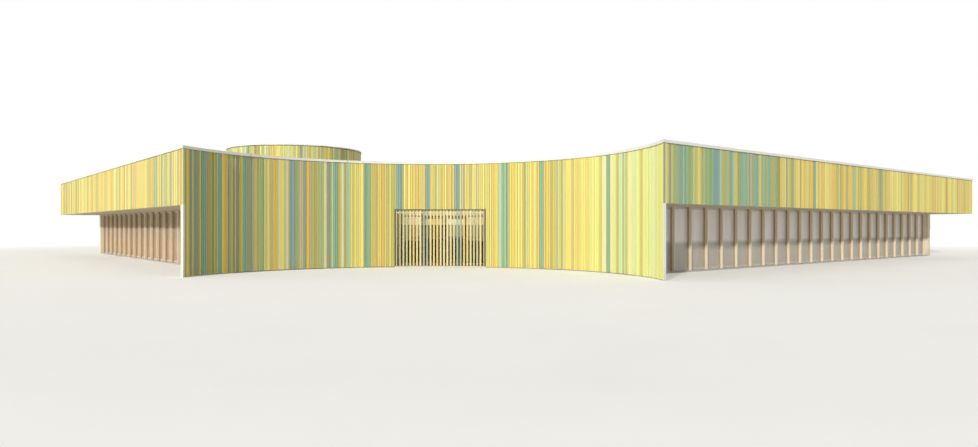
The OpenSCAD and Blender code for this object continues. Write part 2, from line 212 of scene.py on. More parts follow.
# Gates
SLATS = 13
SLAT_PITCH = 0.1426
SLAT_W = 0.076
SLAT_D = 0.045
SLAT_CHAMFER = 0.005
GATE_FOOT = 0.07
GATE_HEAD = 2.4
GATE_RAIL_H = 0.06
GATE_RAIL_D = 0.03
PIVOT_R = 8.03
TUBE_R = 0.03
BOSS_R = 0.018
GATE_RUN = 0.01
SLAT_PAINTS = {
    "w": ("slat_white", (237, 226, 181)),
    "c": ("slat_cream", (233, 219, 163)),
    "y": ("slat_yellow", (230, 209, 137)),
    "g": ("slat_golden", (228, 204, 121)),
    "k": ("slat_grey_cream", (201, 197, 149)),
    "p": ("slat_pale_sage", (212, 209, 158)),
    "b": ("slat_blue_grey", (176, 183, 154)),
    "t": ("slat_tan", (199, 186, 141)),
}
# From the meeting line outward, with the pivot tube last; the left gate has the slat on that line
LEFT_SLATS = "cyycbbwcyckptk"
RIGHT_SLATS = "cccpbbgyckkct"

# Beads beside the fins
BEAD_W = 0.012
BEAD_D = 0.06

# Bars of the hidden walls' windows
BAR_W = 0.05
BAR_D = 0.1
LIGHTS = 6

# Door handles: place beside the meeting line and off the leaf, and heights
HANDLE_Y = 0.05
HANDLE_OUT = 0.045
HANDLE_R = 0.012
HANDLE_LOW = 0.85
HANDLE_HIGH = 1.45
STANDOFF_W = 0.016
STANDOFF_LOWS = (0.95, 1.33)

# Heights at which the glass's colour bands change, which are painted reflection and shade at the walks and
# the entrance; the pale threshold's top; and the heights above which the frames and rails are painted pale
# as painted light, with that pale colour
WALK_PAINTED_LIGHT_Z = 1.13
SIDE_REFLECTION_Z = 1.1
LEFT_REFLECTION_Z = 1.2
RIGHT_REFLECTION_Z = 1.26
REAR_BAND_Z = 1.3
THRESHOLD_Z = FLOOR_TOP + 0.002
PAINTED_LIGHT_Z = 1.8
RAIL_PAINTED_LIGHT_Z = 2.0
PAINTED_LIGHT_FRAME = (246, 234, 202)

# The photograph's camera, level at a standing adult's eyes
CAMERA = (-6.943, -13.534)
EYE_HEIGHT = 1.7
VIEW_TURN = 50.74
LENS = 25.797
SENSOR_W = 36.0
SHIFT_Y = 0.00358

# The two lamps: where they stand, seen from the building, and their strengths, spreads in degrees and
# colours, with the sky's strength and colour
SUN_TOWARD = (-0.846, -0.444, 0.297)
SUN_STRENGTH = 2.0
SUN_SPREAD = 2.5
SUN_COLOUR = (1.0, 0.97, 0.91)
FILL_TOWARD = (-0.6, 0.75, 0.3)
FILL_STRENGTH = 0.35
FILL_SPREAD = 40
FILL_COLOUR = (1.0, 1.0, 1.0)
SKY_STRENGTH = 0.48
SKY_COLOUR = (0.94, 0.97, 1.0, 1.0)


def plan(x, y):
    """A place counted from the missing corner, in the part's frame."""
    return x - ORIGIN[0], y - ORIGIN[1]


def mirrored(x, y):
    """The same place on the left side, across the diagonal."""
    return plan(y, x)


def about(centre, radius, angle):
    """A place round a centre, at an angle in radians."""
    return plan(centre[0] + radius * math.cos(angle), centre[1] + radius * math.sin(angle))


def entrance(x, y):
    """A place by the entrance: X inward along its axis, Y to its left."""
    turn = math.radians(ENTRANCE_TURN)
    return plan(
        CURVE_C + x * math.cos(turn) - y * math.sin(turn),
        CURVE_C + x * math.sin(turn) + y * math.cos(turn),
    )


# Shader nodes


def linear(colour):
    """sRGB 0 to 255 as Blender's linear colour."""
    out = [c / 255 / 12.92 if c / 255 <= 0.04045 else ((c / 255 + 0.055) / 1.055) ** 2.4 for c in colour]
    return (*out, 1.0)


def shade(colour, factor):
    """A lighter or darker colour."""
    return tuple(min(255, c * factor) for c in colour)


def opened(material):
    """A material's node tree and its shader."""
    return material.node_tree, material.node_tree.nodes["Principled BSDF"]


def started(name):
    """A new node material."""
    material = bpy.data.materials.new(name)
    material.use_nodes = True
    return material


def add(tree, kind, **values):
    """Adds a shader node and sets its inputs by name."""
    node = tree.nodes.new("ShaderNode" + kind)
    for name, value in values.items():
        node.inputs[name.replace("_", " ")].default_value = value
    return node


def place_in(tree):
    """The place in object space, split into X, Y and Z outputs."""
    split = add(tree, "SeparateXYZ")
    tree.links.new(add(tree, "TexCoord").outputs["Object"], split.inputs[0])
    return split.outputs


def noise(tree, stretch, detail=5.0, roughness=0.6):
    """Noise in object space, stretched along the axes: cells per metre."""
    coords = add(tree, "TexCoord")
    mapping = add(tree, "Mapping", Scale=stretch)
    texture = add(tree, "TexNoise", Scale=1.0, Detail=detail, Roughness=roughness)
    tree.links.new(coords.outputs["Object"], mapping.inputs["Vector"])
    tree.links.new(mapping.outputs["Vector"], texture.inputs["Vector"])
    return texture.outputs["Fac"]


def ranged(tree, value, low, high, start=0.3, end=0.7):
    """A value's span from start to end, spread over low to high."""
    node = add(tree, "MapRange", From_Min=start, From_Max=end, To_Min=low, To_Max=high)
    tree.links.new(value, node.inputs["Value"])
    return node.outputs["Result"]


def fed(tree, sockets, values):
    """Links or sets each input, whichever its value needs."""
    for socket, value in zip(sockets, values):
        if isinstance(value, bpy.types.NodeSocket):
            tree.links.new(value, socket)
        else:
            socket.default_value = value


def blended(tree, factor, a, b, mode="MIX"):
    """Two colours mixed by a factor; each is a colour or a socket."""
    node = tree.nodes.new("ShaderNodeMix")
    node.data_type = "RGBA"
    node.blend_type = mode
    fed(tree, (node.inputs[0], node.inputs[6], node.inputs[7]), (factor, a, b))
    return node.outputs[2]


def calculated(tree, operation, a, b=0.0):
    """A math operation on two values; each is a number or a socket."""
    node = tree.nodes.new("ShaderNodeMath")
    node.operation = operation
    fed(tree, node.inputs, (a, b))
    return node.outputs[0]


def bumped(tree, shader, height, distance):
    """Relief on a surface, from a height of 0 to 1 and its depth in metres."""
    node = add(tree, "Bump", Strength=1.0, Distance=distance)
    tree.links.new(height, node.inputs["Height"])
    tree.links.new(node.outputs["Normal"], shader.inputs["Normal"])
    return node


def colour_of(shader):
    """The socket that feeds a shader's colour."""
    return shader.inputs["Base Color"].links[0].from_socket


# Kinds of material


def finish(name, colour, contrast, roughness, stretch, fine, bump, islands=0.0, dirt=0.0):
    """A surface whose colour wanders by contrast, with fine bump, and dirt that gathers near the ground."""
    material = started(name)
    tree, shader = opened(material)
    factor = ranged(tree, noise(tree, stretch), 0.0, 1.0)
    if islands:
        piece = add(tree, "NewGeometry").outputs["Random Per Island"]
        factor = blended(tree, islands, factor, piece)
    darker = linear(shade(colour, 1 - contrast))
    paler = linear(shade(colour, 1 + contrast))
    colour_out = blended(tree, factor, darker, paler)
    if dirt:
        low = ranged(tree, place_in(tree)["Z"], dirt, 0.0, 0.0, 0.5)
        spots = calculated(tree, "MULTIPLY", low, ranged(tree, noise(tree, (6, 6, 2)), 0.4, 1.4))
        colour_out = blended(tree, spots, colour_out, linear(shade(colour, 0.55)))
    tree.links.new(colour_out, shader.inputs["Base Color"])
    detail = noise(tree, fine)
    tree.links.new(ranged(tree, detail, *roughness), shader.inputs["Roughness"])
    bumped(tree, shader, detail, bump)
    return material


def lined(material, axes, pitch, width, depth, darken):
    """Adds straight joints to a finish: thin dark grooves every pitch metres along the given axes."""
    tree, shader = opened(material)
    place = place_in(tree)
    groove = None
    for axis in axes:
        along = calculated(tree, "PINGPONG", place[axis], pitch / 2)
        line = calculated(tree, "LESS_THAN", along, width / 2)
        groove = line if groove is None else calculated(tree, "MAXIMUM", groove, line)
    tint = calculated(tree, "MULTIPLY", groove, darken)
    dark = (0.02, 0.02, 0.02, 1.0)
    tree.links.new(blended(tree, tint, colour_of(shader), dark), shader.inputs["Base Color"])
    fine = shader.inputs["Normal"].links[0].from_node
    coarse = bumped(tree, shader, calculated(tree, "SUBTRACT", 1.0, groove), depth)
    tree.links.new(fine.outputs["Normal"], coarse.inputs["Normal"])
    return material


def two_tone_and_painted_light(material, change, lower=None, upper=None):
    """Another colour below or above a height: the pale threshold's own paint, and the frames' and rails'
    pale upper part, which is painted light.
    """
    tree, shader = opened(material)
    there = calculated(tree, "LESS_THAN" if lower else "GREATER_THAN", place_in(tree)["Z"], change)
    other = lower or upper
    darker = linear(shade(other, 0.95))
    paler = linear(shade(other, 1.05))
    speckled = blended(tree, noise(tree, (18, 18, 18)), darker, paler)
    tree.links.new(blended(tree, there, colour_of(shader), speckled), shader.inputs["Base Color"])
    return material


def glazing(name, bands, spread, mirror, roughness, painted_glow=0.0):
    """Reflective glass with colour in bands from the foot up: (start, colour), and a glow of that colour.
    At the walks and the entrance the bands are painted reflection and shade, and the glow is painted light.
    """
    material = started(name)
    tree, shader = opened(material)
    shader.inputs["Metallic"].default_value = mirror
    drift = ranged(tree, noise(tree, (1.2, 1.2, 0.3)), -spread / 2, spread / 2)
    level = calculated(tree, "ADD", place_in(tree)["Z"], drift)
    colour = linear(bands[0][1])
    for start, upper in bands[1:]:
        there = ranged(tree, level, 0.0, 1.0, start - spread, start + spread)
        colour = blended(tree, there, colour, linear(upper))
    streaks = ranged(tree, noise(tree, (4, 4, 0.12)), 0.9, 1.06)
    grey = tree.nodes.new("ShaderNodeCombineColor")
    for socket in grey.inputs[:3]:
        tree.links.new(streaks, socket)
    band_colour = blended(tree, 1.0, colour, grey.outputs[0], "MULTIPLY")
    tree.links.new(band_colour, shader.inputs["Base Color"])
    # Painted light: the glass glows in its band colours, though no lamp stands behind it
    tree.links.new(band_colour, shader.inputs["Emission Color"])
    shader.inputs["Emission Strength"].default_value = painted_glow
    rough = ranged(tree, noise(tree, (9, 9, 9)), roughness * 0.85, roughness * 1.15)
    tree.links.new(rough, shader.inputs["Roughness"])
    bumped(tree, shader, noise(tree, (0.8, 0.8, 0.8), 1.0), 0.0006)
    return material


def wood(name, colour, contrast):
    """Clear finished timber with upright grain."""
    material = finish(
        name, colour, contrast,
        roughness=(0.45, 0.62), stretch=(45, 45, 1.1), fine=(160, 160, 3), bump=0.0004, islands=0.35,
    )
    tree, shader = opened(material)
    rings = add(tree, "TexWave", Scale=5.0, Distortion=6.0, Detail=3.0, Detail_Scale=1.2)
    rings.wave_type = "RINGS"
    rings.rings_direction = "Z"
    mapping = add(tree, "Mapping", Scale=(7, 7, 0.35), Location=(0.37, 0.81, 0))
    tree.links.new(add(tree, "TexCoord").outputs["Object"], mapping.inputs["Vector"])
    tree.links.new(mapping.outputs["Vector"], rings.inputs["Vector"])
    factor = ranged(tree, rings.outputs["Fac"], low=0.0, high=0.35, start=0.5, end=1.0)
    grain = blended(tree, factor, colour_of(shader), linear(shade(colour, 0.9)))
    tree.links.new(grain, shader.inputs["Base Color"])
    return material


def paint(name, colour):
    """A batten's paint, which differs from board to board."""
    return finish(
        "batten_" + name, colour, 0.065,
        roughness=(0.5, 0.68), stretch=(30, 30, 0.9), fine=(150, 150, 4), bump=0.0004, islands=0.75,
    )


def slat_paint(name, colour):
    """A gate slat's paint."""
    return finish(
        name, colour, 0.03,
        roughness=(0.4, 0.55), stretch=(12, 12, 1.5), fine=(90, 90, 6), bump=0.0003, islands=0.4,
    )


def render(name, colour, contrast):
    """Fine render outdoors, with dirt at its foot."""
    return finish(
        name, colour, contrast,
        roughness=(0.75, 0.9), stretch=(1.3, 1.3, 0.7), fine=(140, 140, 140), bump=0.0008, dirt=0.2,
    )


def satin(name, colour, contrast=0.08, roughness=(0.34, 0.5)):
    """Satin paint on metal."""
    return finish(name, colour, contrast, roughness, stretch=(5, 5, 2), fine=(120, 120, 120), bump=0.0002)


def glass_with_painted_reflection(name, foot, middle_z, middle, top):
    """The entrance's glass in three bands of painted reflection, dark at the foot and pale at the top, with
    a painted glow.
    """
    bands = [(0.0, foot), (middle_z, middle), (PAINTED_LIGHT_Z, top)]
    return glazing(name, bands, 0.02, mirror=0.6, roughness=0.12, painted_glow=0.45)


# Materials

PAINT = {letter: paint(*values) for letter, values in PAINTS.items()}
SLAT = {letter: slat_paint(*values) for letter, values in SLAT_PAINTS.items()}
# The membrane behind the battens is real. It is near-black so that it also gives the shade in the gaps
# between boards and under the coping, as painted shade
BACKING_AND_PAINTED_SHADE = finish(
    "backing_membrane_and_painted_shade", (42, 40, 34), 0.2,
    roughness=(0.7, 0.85), stretch=(4, 4, 4), fine=(90, 90, 90), bump=0.0006,
)
RENDER = render("white_render", (250, 249, 240), 0.015)
POST = render("cream_render", (250, 247, 222), 0.015)
END_POST = render("warm_render", (246, 234, 212), 0.02)
INTERIOR = finish(
    "inner_plaster", (226, 220, 208), 0.02,
    roughness=(0.8, 0.9), stretch=(1.0, 1.0, 0.6), fine=(120, 120, 120), bump=0.0004,
)
COPING = lined(
    finish(
        "coping_metal", (243, 243, 238), 0.02,
        roughness=(0.32, 0.46), stretch=(1.5, 1.5, 4), fine=(30, 30, 30), bump=0.0003,
    ),
    "XY", pitch=3.0, width=0.012, depth=0.004, darken=0.3,
)
TIMBER = wood("fin_timber", (247, 228, 204), 0.06)
BEAD_TIMBER = wood("bead_timber", (186, 164, 136), 0.08)
# Painted light: the frames and the gate rails turn pale near the top, standing in for the bright zone
# behind the gates
BRONZE = two_tone_and_painted_light(satin("bronze_frames", (92, 76, 44)), PAINTED_LIGHT_Z, upper=PAINTED_LIGHT_FRAME)
RAIL = two_tone_and_painted_light(satin("dark_rails", (88, 70, 34), roughness=(0.4, 0.55)), RAIL_PAINTED_LIGHT_Z, upper=PAINTED_LIGHT_FRAME)
STEEL = satin("dark_steel", (74, 72, 64))
LINING = two_tone_and_painted_light(satin("olive_steel", (104, 102, 66), 0.06), THRESHOLD_Z, lower=(216, 207, 188))
CONCRETE = finish(
    "concrete", (196, 193, 186), 0.06,
    roughness=(0.7, 0.88), stretch=(1.6, 1.6, 1.6), fine=(70, 70, 70), bump=0.001,
)
MEMBRANE = lined(
    finish(
        "roof_membrane", (188, 188, 182), 0.05,
        roughness=(0.6, 0.8), stretch=(0.5, 0.5, 0.5), fine=(60, 60, 60), bump=0.0008,
    ),
    "X", pitch=1.5, width=0.03, depth=0.006, darken=0.35,
)
SOFFIT = lined(
    finish(
        "soffit_boards", (208, 200, 170), 0.08,
        roughness=(0.6, 0.75), stretch=(6, 6, 6), fine=(80, 80, 80), bump=0.0005,
    ),
    "XY", pitch=0.6, width=0.008, depth=0.006, darken=0.8,
)
SILL = finish(
    "sill_metal", (214, 210, 200), 0.03,
    roughness=(0.35, 0.5), stretch=(3, 3, 3), fine=(60, 60, 60), bump=0.0003,
)
# Painted reflection: the right walk's glass is greyer at the foot and pale above. The left walk's glass is
# tan at the foot, painted reflection, and darker above, painted shade under the band
GLASS = glazing(
    "walk_glass", [(0.0, (194, 191, 183)), (WALK_PAINTED_LIGHT_Z, (247, 242, 239))], 0.08,
    mirror=0.14, roughness=0.4,
)
BROWN_GLASS = glazing(
    "brown_walk_glass", [(0.0, (208, 184, 154)), (WALK_PAINTED_LIGHT_Z, (196, 180, 160))], 0.08,
    mirror=0.35, roughness=0.18,
)
REAR_GLASS = glazing(
    "rear_glass", [(0.0, (116, 124, 122)), (REAR_BAND_Z, (150, 160, 166))], 0.5,
    mirror=0.6, roughness=0.08,
)
# Painted reflection and painted light: the entrance's glass is dark at the foot, pale at the top, and glows
SIDE_GLASS = glass_with_painted_reflection("sidelight_glass", (42, 38, 18), SIDE_REFLECTION_Z, (152, 140, 98), (240, 222, 180))
LEFT_GLASS = glass_with_painted_reflection("left_door_glass", (30, 26, 8), LEFT_REFLECTION_Z, (112, 92, 44), (240, 218, 166))
RIGHT_GLASS = glass_with_painted_reflection("right_door_glass", (28, 34, 18), RIGHT_REFLECTION_Z, (144, 140, 106), (240, 230, 190))

LOOKS = {
    CONCRETE: ["floor_slab"],
    POST: ["corner_blades"],
    END_POST: ["end_posts"],
    RENDER: ["corner_posts", "porch_walls", "porch_ceiling"],
    INTERIOR: [
        "curved_wall_left", "curved_wall_right", "entrance_lintel", "window_beams",
        "band_walls", "rear_wall", "side_wall", "drum_wall",
    ],
    SOFFIT: ["walk_soffits"],
    COPING: ["coping_front", "coping_sides", "drum_coping"],
    MEMBRANE: ["roof_slab", "drum_roof"],
    TIMBER: ["fins_left", "fins_right"],
    SILL: ["window_rails"],
    BRONZE: ["entrance_frame", "door_left", "door_right"],
    STEEL: ["rear_window_frames"],
    LINING: ["entrance_surround"],
    GLASS: ["glass_right"],
    BROWN_GLASS: ["glass_left"],
    SIDE_GLASS: ["entrance_glass"],
    LEFT_GLASS: ["door_glass_left"],
    RIGHT_GLASS: ["door_glass_right"],
    REAR_GLASS: ["rear_glass"],
}


def dress_nodes():
    """Gives the CAD nodes that stay their materials."""
    for look, names in LOOKS.items():
        for name in names:
            for slot in NODES[name].material_slots:
                slot.material = look


# Shapes


class Shape:
    """Upright prisms and boxes gathered into one mesh."""

    def __init__(self):
        self.verts = []
        self.faces = []
        self.looks = []
        self.of_face = []

    def prism(self, section, low, high, look):
        """A prism over a plan outline, from one height to another."""
        following = section[1:] + section[:1]
        area = sum(a[0] * b[1] - b[0] * a[1] for a, b in zip(section, following))
        if area < 0:
            section = section[::-1]
        n = len(section)
        base = len(self.verts)
        self.verts += [(x, y, low) for x, y in section] + [(x, y, high) for x, y in section]
        faces = [tuple(base + i for i in reversed(range(n))), tuple(base + n + i for i in range(n))]
        faces += [(base + i, base + (i + 1) % n, base + n + (i + 1) % n, base + n + i) for i in range(n)]
        self.faces += faces
        if look not in self.looks:
            self.looks.append(look)
        self.of_face += [self.looks.index(look)] * len(faces)

    def box(self, low, high, look, place=plan):
        """A box by its two corners, in a plan of the given kind."""
        (x0, y0, z0), (x1, y1, z1) = low, high
        self.prism([place(x0, y0), place(x1, y0), place(x1, y1), place(x0, y1)], z0, z1, look)

    def piece(self, name, body, slot, replaces=()):
        """Makes the object, which rides on a body and may replace CAD nodes."""
        mesh = bpy.data.meshes.new(name)
        mesh.from_pydata(self.verts, [], self.faces)
        for look in self.looks:
            mesh.materials.append(look)
        mesh.polygons.foreach_set("material_index", self.of_face)
        mesh.update()
        made = bpy.data.objects.new(name, mesh)
        bpy.context.scene.collection.objects.link(made)
        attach(made, body)
        if replaces:
            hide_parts(*replaces)


# Battens


def groups(mix, start, end, seed, accents=(), wider=1.0):
    """Groups of like boards, (end, paints), drawn from each stretch's mix, with the accents in place."""
    rng = random.Random(seed)
    half = ACCENT_W / 2
    marks = [mark for mark in accents if start < mark - half]
    out = []
    at = start
    paints = ""
    while at < end:
        if marks and at > marks[0] - half - ACCENT_NEAR:
            at = marks.pop(0) + half
            paints = rng.choice(ACCENT_PAINTS)
        else:
            bag = next(here for stop, here in mix if at < stop)
            before = paints[:1]
            paints = rng.choice([letter for letter in bag if letter != before or letter in CALM_PAINTS])
            at += wider * rng.choice(GROUP_WIDTHS)
            if marks:
                at = min(at, marks[0] - half)
        if rng.random() < SHARE_CHANCE:
            paints += rng.choice(BESIDE[paints])
        out.append((at, paints))
    return out


def boards(start, end, pattern, rng):
    """Splits a stretch of wall into boards, (start, end, paint letter), group by group."""
    out = []
    at = start
    for limit, paints in pattern:
        limit = min(limit, end)
        turn = 0
        while limit - at > LEAST_W:
            width = rng.choice(WIDTHS)
            stop = limit if limit - at - width < LEAST_REST else at + width
            stop = min(stop, at + WIDEST_W)
            turn += rng.random() < TURN_CHANCE
            out.append((at, stop, paints[turn % len(paints)]))
            at = stop
    if out and end - at > MISSED:
        first, _, letter = out[-1]
        out[-1] = (first, end, letter)
    return out


def clad(shape, path, start, end, low, pattern, rng, high=CLAD_TOP - TOP_SHADOW):
    """Battens on a stretch of wall. path(s, d) gives the place at s along it and d out from the wall."""
    for a, b, letter in boards(start, end, pattern, rng):
        a += GAP / 2
        b -= GAP / 2
        front = CLAD_T - rng.choice(SET_BACKS)
        section = [
            path(a, BACKING_T),
            path(b, BACKING_T),
            path(b, front - CHAMFER),
            path(b - CHAMFER, front),
            path(a + CHAMFER, front),
            path(a, front - CHAMFER),
        ]
        shape.prism(section, low, high, PAINT[letter])


def back(shape, path, start, end, low, high=CLAD_TOP, step=0.4):
    """The near-black membrane behind the battens, as short lengths that follow the wall; a real membrane
    whose dark also stands for the shade in the gaps and under the coping, as painted shade.
    """
    count = max(1, math.ceil((end - start) / step))
    for i in range(count):
        a = start + (end - start) * i / count
        b = start + (end - start) * (i + 1) / count
        section = [path(a, BACK_SEAT), path(b, BACK_SEAT), path(b, BACKING_T), path(a, BACKING_T)]
        shape.prism(section, low + BACK_RAISE, high, BACKING_AND_PAINTED_SHADE)


# The curve goes past a quarter circle by this angle at each tip. Its lengths count from the left tip
TIP = math.asin(CURVE_C / CURVE_R)
CURVE_START = math.pi / 2 + TIP
CURVE_LENGTH = CURVE_R * (math.pi / 2 + 2 * TIP)

# The drum's lengths count from this direction. Its battens keep a little inside its cladding's face
DRUM_START = math.radians(193)
DRUM_CORE_R = DRUM_R - CLAD_T + BACK_SEAT
DRUM_DEPTH = 0.98


# Paths, which clad and back follow: the place at s along a wall and d out from its core


def on_curve(s, d):
    return about((CURVE_C, CURVE_C), CORE_R - d, CURVE_START - s / CURVE_R)


def on_right(s, d):
    return plan(s, CLAD_T - d)


def on_left(s, d):
    return plan(CLAD_T - d, s)


def on_rear(s, d):
    return plan(s, PLAN_Y - CLAD_T + d)


def on_side(s, d):
    return plan(PLAN_X - CLAD_T + d, s)


def on_drum(s, d):
    return about(DRUM, DRUM_CORE_R + d * DRUM_DEPTH, s / DRUM_R - DRUM_START)


def after(pattern, start):
    """The groups that end past a place."""
    return [(stop, paints) for stop, paints in pattern if stop > start]


def curve_battens():
    """The concave front in three pieces: left and right of the entrance to the ground, and over it."""
    edge = CURVE_R * math.asin(HALF_W / CURVE_R)
    middle = CURVE_R * (CURVE_START - math.radians(ENTRANCE_TURN))
    pattern = groups(CURVE_MIX, 0.0, CURVE_LENGTH, CURVE_SEED, CURVE_ACCENTS)
    for where, start, end, low, seed in (
        ("curve_left", TIP_W, middle - edge, CLAD_GAP, 11),
        ("over_entrance", middle - edge, middle + edge, BAND_LOW, 12),
        ("curve_right", middle + edge, CURVE_LENGTH - TIP_W, CLAD_GAP, 13),
    ):
        shape = Shape()
        clad(shape, on_curve, start, end, low, after(pattern, start), random.Random(seed))
        back(shape, on_curve, start, end, low)
        shape.piece("battens_" + where, ROOT, "battens", ["cladding_" + where])


def tip_angle(radius, y):
    """Where a circle round the curve's centre is y inside the side's face, as an angle from the side."""
    return math.asin((CURVE_C - y) / radius)


def tip_board(shape, place, start, stops, low, letter):
    """A board at a sharp tip, from start inside the side's face to its stops: angles at back and front."""
    rear = CORE_R - BACK_SEAT
    corners = (
        (CURVE_R, tip_angle(CURVE_R, start)),
        (rear, tip_angle(rear, start)),
        (rear, stops[0]),
        (CURVE_R, stops[1]),
    )
    section = [place(CURVE_C + r * math.cos(a), CURVE_C - r * math.sin(a)) for r, a in corners]
    shape.prism(section, low, CLAD_TOP - TOP_SHADOW, PAINT[letter])


def corner_boards():
    """At each sharp tip, cut square to the side: a board above the corner post's cap, and one beside it."""
    shape = Shape()
    cap = (tip_angle(CORE_R - BACK_SEAT, CLAD_T), tip_angle(CURVE_R, CLAD_T))
    next_board = TIP - TIP_W / CURVE_R + GAP / 2 / CURVE_R
    for place, over, beside in ((plan, "K", "L"), (mirrored, "P", "D")):
        tip_board(shape, place, 0.0, cap, BAND_LOW, over)
        tip_board(shape, place, CLAD_T + CORNER_GAP, (next_board, next_board), CLAD_GAP, beside)
    shape.piece("corner_boards", ROOT, "battens")


def band_battens():
    """The bands of both wings."""
    first = CURVE_C + math.sqrt(CORE_R**2 - CURVE_C**2) + CORNER_GAP
    for side, path, length, mix, accents, seed in (
        ("right", on_right, PLAN_X, RIGHT_MIX, RIGHT_ACCENTS, RIGHT_SEED),
        ("left", on_left, PLAN_Y, LEFT_MIX, (), LEFT_SEED),
    ):
        shape = Shape()
        pattern = groups(mix, first, length, seed, accents, STRAIGHT_WIDER)
        clad(shape, path, first, length, BAND_LOW, pattern, random.Random(seed))
        back(shape, path, first, length - CLAD_T, BAND_LOW, step=3.0)
        shape.piece("battens_" + side, ROOT, "battens", ["cladding_" + side])


def window_starts(length):
    """Where the windows of a hidden wall start, with equal walls between them."""
    room = length - WALK_DEPTH - CLAD_T - WALL_T - WINDOWS * WINDOW_W
    return [WALK_DEPTH + room / (WINDOWS + 1) * (i + 1) + i * WINDOW_W for i in range(WINDOWS)]


def rear_battens():
    """The two hidden walls: to the ground between the windows, and a band over them."""
    for side, path, length, end, seed in (
        ("rear", on_rear, PLAN_X, PLAN_X, 31),
        ("side", on_side, PLAN_Y, PLAN_Y - CLAD_T, 32),
    ):
        shape = Shape()
        rng = random.Random(seed)
        pattern = groups(REAR_MIX, 0.0, length, REAR_SEED + seed, wider=STRAIGHT_WIDER)
        marks = [(CLAD_T, BAND_LOW), (PANE_Y, CLAD_GAP)]
        for start in window_starts(length):
            marks += [(start, BAND_LOW), (start + WINDOW_W, CLAD_GAP)]
        stops = [start for start, _ in marks[1:]] + [end]
        for (start, low), stop in zip(marks, stops):
            clad(shape, path, start, stop, low, after(pattern, start), rng)
            back(shape, path, start, stop, low, step=6.0)
        shape.piece("battens_" + side, ROOT, "battens", [side + "_cladding"])


def drum_battens():
    """The drum, from just above the roof to its coping."""
    shape = Shape()
    length = 2 * math.pi * DRUM_R
    low = ROOF_TOP + DRUM_FOOT
    high = DRUM_TOP - DRUM_SHADOW
    pattern = groups(DRUM_MIX, 0.0, length, DRUM_SEED)
    clad(shape, on_drum, 0.0, length, low, pattern, random.Random(DRUM_BOARD_SEED), high)
    back(shape, on_drum, 0.0, length, low, high=DRUM_TOP, step=0.3)
    shape.piece("battens_drum", ROOT, "battens", ["drum_cladding"])


# Gates


def sector(inner, outer, start, end, steps=24):
    """A ring's part in the entrance's plan, angles in radians from its axis."""
    angles = [start + (end - start) * i / steps for i in range(steps + 1)]
    near = [entrance(inner * math.cos(a), inner * math.sin(a)) for a in angles]
    return near + [entrance(outer * math.cos(a), outer * math.sin(a)) for a in reversed(angles)]


def disc(x, y, radius, count=24):
    """A round outline in the entrance's plan."""
    turns = [2 * math.pi * i / count for i in range(count)]
    return [entrance(x + radius * math.cos(t), y + radius * math.sin(t)) for t in turns]


def slat_outline(angle):
    """A chamfered slat on the curve, at an angle from the entrance's axis."""
    half = SLAT_W / 2
    c = SLAT_CHAMFER
    far = CURVE_R + SLAT_D
    outline = [
        (CURVE_R, -half + c),
        (CURVE_R + c, -half),
        (far - c, -half),
        (far, -half + c),
        (far, half - c),
        (far - c, half),
        (CURVE_R + c, half),
        (CURVE_R, half - c),
    ]
    sine, cosine = math.sin(angle), math.cos(angle)
    return [entrance(x * cosine - y * sine, x * sine + y * cosine) for x, y in outline]


def gate(side, name, letters):
    """Curved slatted gate: chamfered slats on three curved rails, with its pivot tube at the jamb."""
    shape = Shape()
    turn = SLAT_PITCH / CURVE_R
    first = SLATS + 1 - len(letters)
    pivot = side * SLATS * turn
    for i, letter in enumerate(letters[:-1], first):
        shape.prism(slat_outline(side * i * turn), GATE_FOOT, GATE_HEAD, SLAT[letter])
    x = PIVOT_R * math.cos(pivot)
    y = PIVOT_R * math.sin(pivot)
    shape.prism(disc(x, y, TUBE_R), GATE_FOOT, GATE_HEAD, SLAT[letters[-1]])
    shape.prism(disc(x, y, BOSS_R), FLOOR_TOP, GATE_FOOT, STEEL)
    shape.prism(disc(x, y, BOSS_R), GATE_HEAD, GATE_HEAD + GATE_RUN, STEEL)
    inner = CURVE_R + SLAT_D - SLAT_CHAMFER
    outline = sector(inner, inner + GATE_RAIL_D, side * first * turn, pivot)
    middle = (GATE_FOOT + GATE_HEAD - GATE_RAIL_H) / 2
    for low in (GATE_FOOT + GATE_RAIL_H, middle, GATE_HEAD - 2 * GATE_RAIL_H):
        shape.prism(outline, low, low + GATE_RAIL_H, RAIL)
    shape.piece(name + "_slats", name, "gate_slats", [name])


# Doors and windows


def door_handles():
    """An upright pull bar on two stand-offs, on both faces of each leaf."""
    for side, body in ((1, "door_left"), (-1, "door_right")):
        shape = Shape()
        y = side * HANDLE_Y
        for out in (-1, 1):
            face = SCREEN_X if out < 0 else SCREEN_X + DOOR_T
            bar = face + out * HANDLE_OUT
            shape.prism(disc(bar, y, HANDLE_R, count=16), HANDLE_LOW, HANDLE_HIGH, STEEL)
            for z in STANDOFF_LOWS:
                low = (min(face, bar), y - STANDOFF_W / 2, z)
                high = (max(face, bar), y + STANDOFF_W / 2, z + STANDOFF_W)
                shape.box(low, high, STEEL, entrance)
        shape.piece(body + "_handles", body, "steel_frame")


def rear_bars():
    """Mullions in each window of the hidden walls, on both faces of the glass."""
    shape = Shape()
    foot = FLOOR_TOP + FRAME_W
    head = BAND_LOW - FRAME_W
    for length, across, place in ((PLAN_X, PLAN_Y, plan), (PLAN_Y, PLAN_X, mirrored)):
        mid = across - CLAD_T - WALL_T / 2
        for start in window_starts(length):
            for k in range(1, LIGHTS):
                x = start + WINDOW_W * k / LIGHTS
                for out in (-1, 1):
                    near = mid + out * GLASS_T / 2
                    far = mid + out * BAR_D / 2
                    low = (x - BAR_W / 2, min(near, far), foot)
                    high = (x + BAR_W / 2, max(near, far), head)
                    shape.box(low, high, STEEL, place)
    shape.piece("rear_window_bars", ROOT, "steel_frame")


